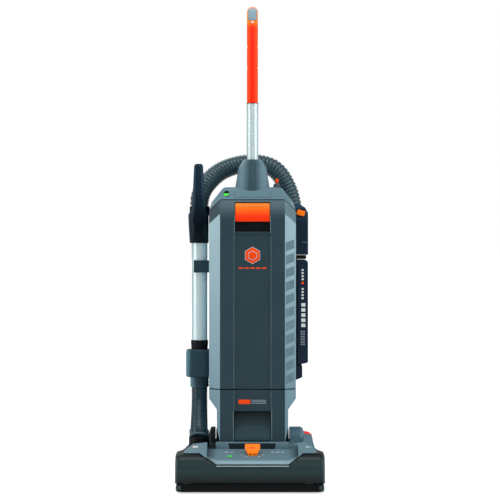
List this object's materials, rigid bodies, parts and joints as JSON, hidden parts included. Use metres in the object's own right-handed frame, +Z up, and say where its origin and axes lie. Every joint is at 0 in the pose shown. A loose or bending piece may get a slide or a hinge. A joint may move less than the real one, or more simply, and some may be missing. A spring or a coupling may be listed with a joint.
{
  "type": "upright vacuum cleaner",
  "caption": "Upright commercial vacuum cleaner: wheeled brush head, reclining body with bag door, side wand, over-the-back hose and stick handle.",
  "frame": {"origin": "on the floor, in the middle of the machine's footprint (overall bounding box)", "axes": "+Z up, -Y the way the front of the head faces, +X to the right of a viewer facing the front"},
  "size_m": [0.353, 0.3224, 1.1738],
  "materials": {
    "slate_plastic": "fine-grained dark slate moulding",
    "grey_plastic": "mid blue-grey moulding, fine grain",
    "dark_hood": "satin dark grey-green moulding",
    "black_plastic": "black moulding",
    "navy_plastic": "dark navy moulding",
    "orange_plastic": "bright orange moulding",
    "red_plastic": "red moulding",
    "light_grey_plastic": "pale blue-grey moulding",
    "aluminium_tube": "satin anodised aluminium",
    "steel": "plain steel",
    "rubber": "black rubber",
    "green_lens": "translucent green lens",
    "bag_fabric": "white nonwoven fabric",
    "foam": "open-cell grey foam",
    "filter_media": "off-white filter board and pleats"
  },
  "bodies": {
    "head": {"head_base": "grey_plastic", "brush_hood": "dark_hood", "head_cover": "grey_plastic", "furniture_guard": "rubber", "sole_plate": "steel", "bottom_cover": "black_plastic", "brush_motor": "steel", "drive_belt": "rubber", "brush_end_cap_left": "black_plastic", "brush_end_cap_right": "black_plastic", "rear_axle": "steel", "pivot_pin_left": "steel", "pivot_pin_right": "steel", "hose_port": "black_plastic", "head_indicator": "green_lens"},
    "brush": {"brush_roll": "black_plastic"},
    "motor_shaft": {"motor_pulley": "steel"},
    "wheel_left": {"rear_wheel_left": "rubber"},
    "wheel_right": {"rear_wheel_right": "rubber"},
    "carriage": {"wheel_carriage": "black_plastic"},
    "roller_left": {"front_wheel_left": "rubber"},
    "roller_right": {"front_wheel_right": "rubber"},
    "dial": {"height_knob": "orange_plastic"},
    "pedal": {"release_pedal": "red_plastic"},
    "upright": {"lower_housing": "slate_plastic", "bag_housing": "slate_plastic", "top_cap": "grey_plastic", "door_seal": "rubber", "filter_bag": "bag_fabric", "bag_collar": "filter_media", "pre_filter": "foam", "vacuum_motor": "steel", "motor_cradle": "black_plastic", "handle_socket": "grey_plastic", "handle_tube": "aluminium_tube", "handle_grip": "orange_plastic", "toggle_boot": "black_plastic", "bag_indicator": "green_lens", "hose_connector": "navy_plastic", "filter_frame": "black_plastic", "filter_duct": "navy_plastic", "wand_cup": "grey_plastic", "wand_clip": "slate_plastic", "hose": "slate_plastic", "lower_hose": "slate_plastic", "cord_hook_lower": "black_plastic", "power_cord": "rubber"},
    "door": {"bag_door": "slate_plastic"},
    "latch": {"door_latch": "orange_plastic"},
    "fan": {"motor_fan": "aluminium_tube"},
    "filter_door": {"filter_cover": "navy_plastic", "hepa_filter": "filter_media"},
    "release_button": {"hose_button": "orange_plastic"},
    "switch": {"power_switch": "light_grey_plastic"},
    "toggle": {"mode_toggle": "orange_plastic"},
    "hook": {"cord_hook_upper": "black_plastic"},
    "wand": {"wand_tube": "aluminium_tube", "wand_collar": "black_plastic", "wand_handle": "black_plastic"}
  },
  "joints": [
    {"name": "recline", "type": "hinge", "parent": "head", "child": "upright", "pos_m": [0.006, 0.02875, 0.105], "axis": [-1, 0, 0], "range_deg": [0, 75], "stiffness_Nm_per_rad": 3, "springref_deg": -68.75, "deforming": ["lower_hose"]},
    {"name": "brush_spin", "type": "hinge", "parent": "head", "child": "brush", "pos_m": [0.006, -0.11125, 0.038], "axis": [1, 0, 0], "continuous": true},
    {"name": "motor_spin", "type": "hinge", "parent": "head", "child": "motor_shaft", "pos_m": [0.006, -0.05125, 0.0555], "axis": [1, 0, 0], "continuous": true},
    {"name": "wheel_left_spin", "type": "hinge", "parent": "head", "child": "wheel_left", "pos_m": [0.006, 0.09475, 0.038], "axis": [1, 0, 0], "continuous": true},
    {"name": "wheel_right_spin", "type": "hinge", "parent": "head", "child": "wheel_right", "pos_m": [0.006, 0.09475, 0.038], "axis": [1, 0, 0], "continuous": true},
    {"name": "dial_turn", "type": "hinge", "parent": "head", "child": "dial", "pos_m": [0.006, -0.10925, 0.0895], "axis": [0, -0.225, 0.9744], "range_deg": [0, 150]},
    {"name": "carriage_tilt", "type": "hinge", "parent": "head", "child": "carriage", "pos_m": [0.006, 0.00875, 0.016], "axis": [-1, 0, 0], "range_deg": [0, 3]},
    {"name": "roller_left_spin", "type": "hinge", "parent": "carriage", "child": "roller_left", "pos_m": [0.006, -0.05325, 0.014], "axis": [1, 0, 0], "continuous": true},
    {"name": "roller_right_spin", "type": "hinge", "parent": "carriage", "child": "roller_right", "pos_m": [0.006, -0.05325, 0.014], "axis": [1, 0, 0], "continuous": true},
    {"name": "pedal_press", "type": "hinge", "parent": "head", "child": "pedal", "pos_m": [0.143, 0.05275, 0.09], "axis": [-1, 0, 0], "range_deg": [0, 10], "stiffness_Nm_per_rad": 1.5},
    {"name": "door_open", "type": "hinge", "parent": "upright", "child": "door", "pos_m": [0.006, -0.06375, 0.2405], "axis": [1, 0, 0], "range_deg": [0, 85]},
    {"name": "latch_pull", "type": "hinge", "parent": "door", "child": "latch", "pos_m": [0.006, -0.04975, 0.6825], "axis": [-1, 0, 0], "range_deg": [0, 25], "stiffness_Nm_per_rad": 0.3},
    {"name": "fan_spin", "type": "hinge", "parent": "upright", "child": "fan", "pos_m": [0.006, 0.03075, 0.2035], "axis": [0, 0, 1], "continuous": true},
    {"name": "filter_cover_open", "type": "hinge", "parent": "upright", "child": "filter_door", "pos_m": [0.1144, 0.02875, 0.2935], "axis": [0, 1, 0], "range_deg": [0, 20]},
    {"name": "hose_button_press", "type": "slide", "parent": "upright", "child": "release_button", "axis": [0, 1, 0], "range_m": [0, 0.003], "stiffness_N_per_m": 300},
    {"name": "power_switch_press", "type": "slide", "parent": "upright", "child": "switch", "axis": [0, 1, 0], "range_m": [0, 0.0025], "stiffness_N_per_m": 300},
    {"name": "toggle_tilt", "type": "hinge", "parent": "upright", "child": "toggle", "pos_m": [0.0657, 0.02875, 0.73], "axis": [1, 0, 0], "range_deg": [-12, 12]},
    {"name": "cord_hook_turn", "type": "hinge", "parent": "upright", "child": "hook", "pos_m": [0.006, 0.10375, 0.552], "axis": [0, 1, 0], "range_deg": [0, 180]},
    {"name": "wand_lift", "type": "slide", "parent": "upright", "child": "wand", "axis": [0, 0, 1], "range_m": [0, 0.1], "deforming": ["hose"]}
  ],
  "couplings": [
    {"joint": "motor_spin", "follows": "brush_spin", "ratio": 2},
    {"joint": "carriage_tilt", "follows": "dial_turn", "ratio": 0.02}
  ]
}
